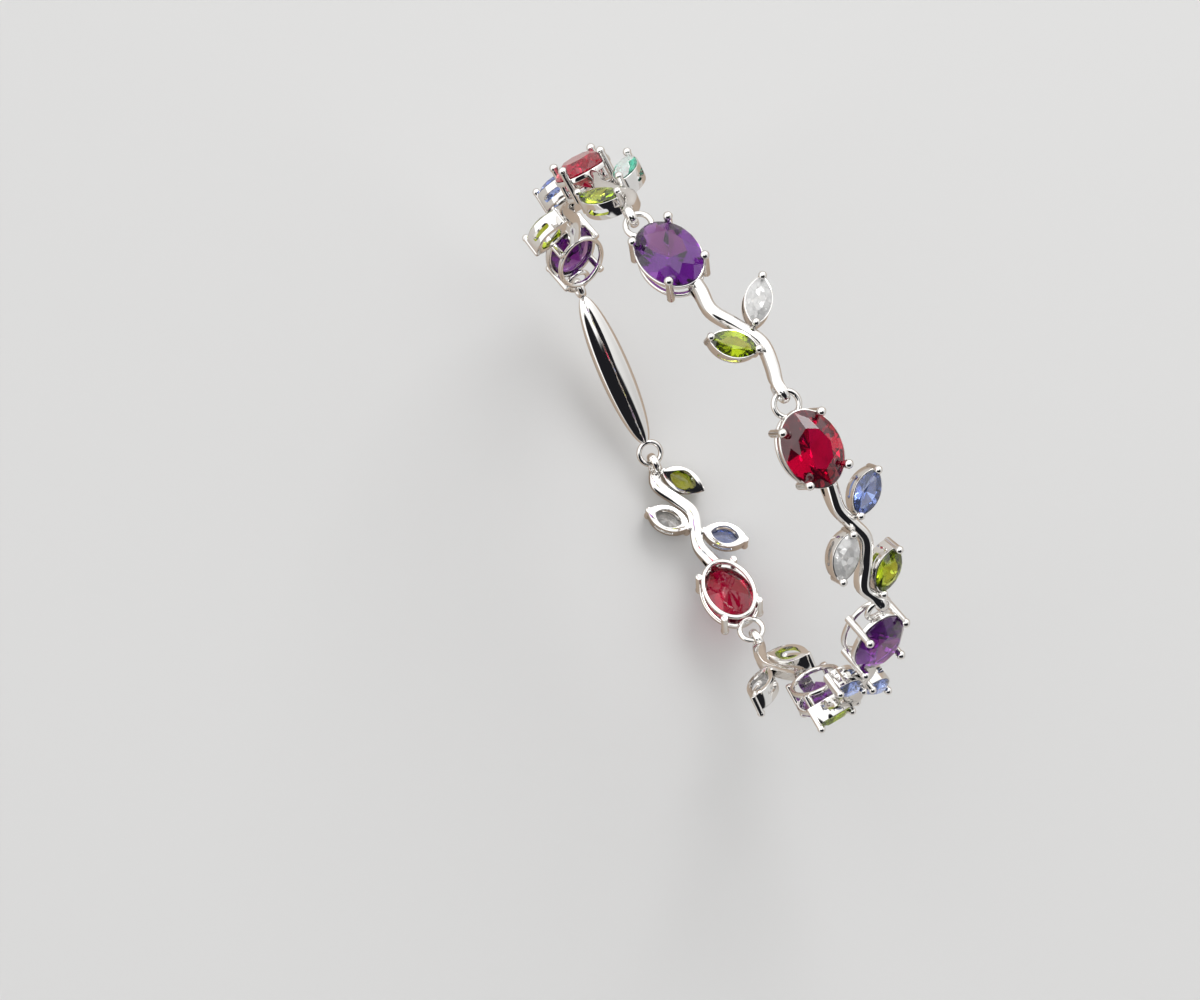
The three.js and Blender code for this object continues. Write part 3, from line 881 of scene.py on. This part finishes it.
linkKinds = {}
loop = {"halfWidth": 31.5, "halfHeight": 28, "squareness": 2.4, "firstPivot": -139.2}
chain = [
    {"stone": "amethyst", "stem": "trio", "flip": -1, "leaves": ["peridot", "clear", "blue"], "aside": 1.26},
    {"stone": "ruby", "stem": "latePair", "flip": 1, "leaves": ["green", "peridot"], "aside": 2.89},
    {"stone": "amethyst", "stem": "pair", "flip": 1, "leaves": ["clear", "peridot"], "aside": -0.03},
    {"stone": "ruby", "stem": "trio", "flip": 1, "leaves": ["blue", "clear", "peridot"], "aside": 1.74},
    {"stone": "amethyst", "stem": "wideTrio", "flip": -1, "leaves": ["blue", "blue", "peridot"],
     "aside": 0.52},
    {"stone": "amethyst", "stem": "pair", "flip": -1, "leaves": ["clear", "peridot"], "aside": -3.45},
    {"stone": "ruby", "stem": "trio", "flip": 1, "leaves": ["blue", "clear", "peridot"], "aside": -2.92},
]
clasp = {"aside": -0.9, "width": 3.8, "depth": 2.4, "overlap": 0.2}
paintedGlareFacing = 0.86  # painted highlight: facets of the green leaf that face up more than this are pale, standing in for glare


def loopPoint(degrees, aside):
    turn = math.radians(degrees)

    def bend(value):
        return math.copysign(abs(value) ** (2 / loop["squareness"]), value)

    across, up = loop["halfWidth"] * bend(math.sin(turn)), loop["halfHeight"] * bend(math.cos(turn))
    return Vector((across, aside, up))


def nextPivot(start, degrees, aside):
    low, high = degrees + 5, degrees + 100
    for _ in range(40):
        middle = (low + high) / 2
        if (loopPoint(middle, aside) - start).length < linkSize["length"]:
            low = middle
        else:
            high = middle
    return (low + high) / 2


def pivotFrame(start, end):
    along = (end - start).normalized()
    out = along.cross(Vector((0, 1, 0))).normalized()
    side = out.cross(along)
    turned = Matrix((along, side, out)).transposed().to_4x4()
    return Matrix.Diagonal((millimetre, millimetre, millimetre, 1)) @ Matrix.Translation(start) @ turned


def setPiece(piece, name, node, material):
    piece.name = name
    piece.data.name = name
    piece.data.materials.clear()
    piece.data.materials.append(material)
    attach(piece, "root")
    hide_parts(node)


def makeClasp(length):
    deselectAll()
    start, end = 2 * headRing["radius"] - clasp["overlap"], length - tailLoop["radius"]
    bpy.ops.mesh.primitive_uv_sphere_add(
        segments=48, ring_count=32, radius=1, location=(0, 0, 0), rotation=(0, math.pi / 2, 0))
    body = applyAll(bpy.context.object)
    body.scale = ((end - start) / 2, clasp["width"] / 2, clasp["depth"] / 2)
    body.location = ((start + end) / 2, 0, 0)
    applyAll(body)
    combine(body, makeHeadRing(), "UNION")
    combine(body, makeTailLoop((length, 0, 0)), "UNION")
    clearSlivers(body)
    return smoothSurface(body)


counts = {}


def nextName(kind):
    counts[kind] = counts.get(kind, 0) + 1
    return f"{kind}_{counts[kind]}"


turn = loop["firstPivot"]
pivots = [loopPoint(turn, chain[0]["aside"])]
for number, row in enumerate(chain):
    nextAside = (chain[number + 1] if number + 1 < len(chain) else clasp)["aside"]
    turn = nextPivot(pivots[-1], turn, nextAside)
    pivots.append(loopPoint(turn, nextAside))
    placed = pivotFrame(pivots[-2], pivots[-1]) @ Matrix.Rotation(-lean, 4, "Y")
    key = (row["stem"], row["flip"])
    if key not in linkKinds:
        linkKinds[key] = makeLink(*key)
    node = nextName("link")
    setPiece(copyOf(linkKinds[key], placed), f"silver_{node}", node, silverMaterial)
    kind = row["stone"]
    node = nextName(kind)
    atBasket = Matrix.Translation((linkSize["basketCentre"], 0, basket["girdle"]))
    stone = copyOf(ovalStone, placed @ atBasket)
    setPiece(stone, f"cut_{node}", node, stoneMaterials[kind])
    for kind, frameAt in zip(row["leaves"], leafFrames(*key)):
        node = nextName(f"{kind}_leaf")
        atCup = frameAt @ Matrix.Translation((0, 0, leafCup["girdle"]))
        stone = copyOf(leafStone, placed @ atCup)
        setPiece(stone, f"cut_{node}", node, stoneMaterials[kind])
        if kind == "green":
            # painted highlight: the upper facets take the pale clear material as glare, the rest sea-green
            up = (placed @ atCup).to_3x3().col[2].normalized()
            stone.data.materials.append(stoneMaterials["clear"])
            for face in stone.data.polygons:
                face.material_index = int(face.normal.dot(up) > paintedGlareFacing)
    print("link", number + 1, "is set")

claspBar = makeClasp((pivots[0] - pivots[-1]).length)
claspBar.matrix_world = pivotFrame(pivots[-1], pivots[0])
setPiece(applyAll(claspBar), "silver_clasp", "clasp", silverMaterial)
print("clasp is set")

for model in [ovalStone, leafStone, basketSetting, leafCupSetting, stemSection, *linkKinds.values()]:
    bpy.data.objects.remove(model)
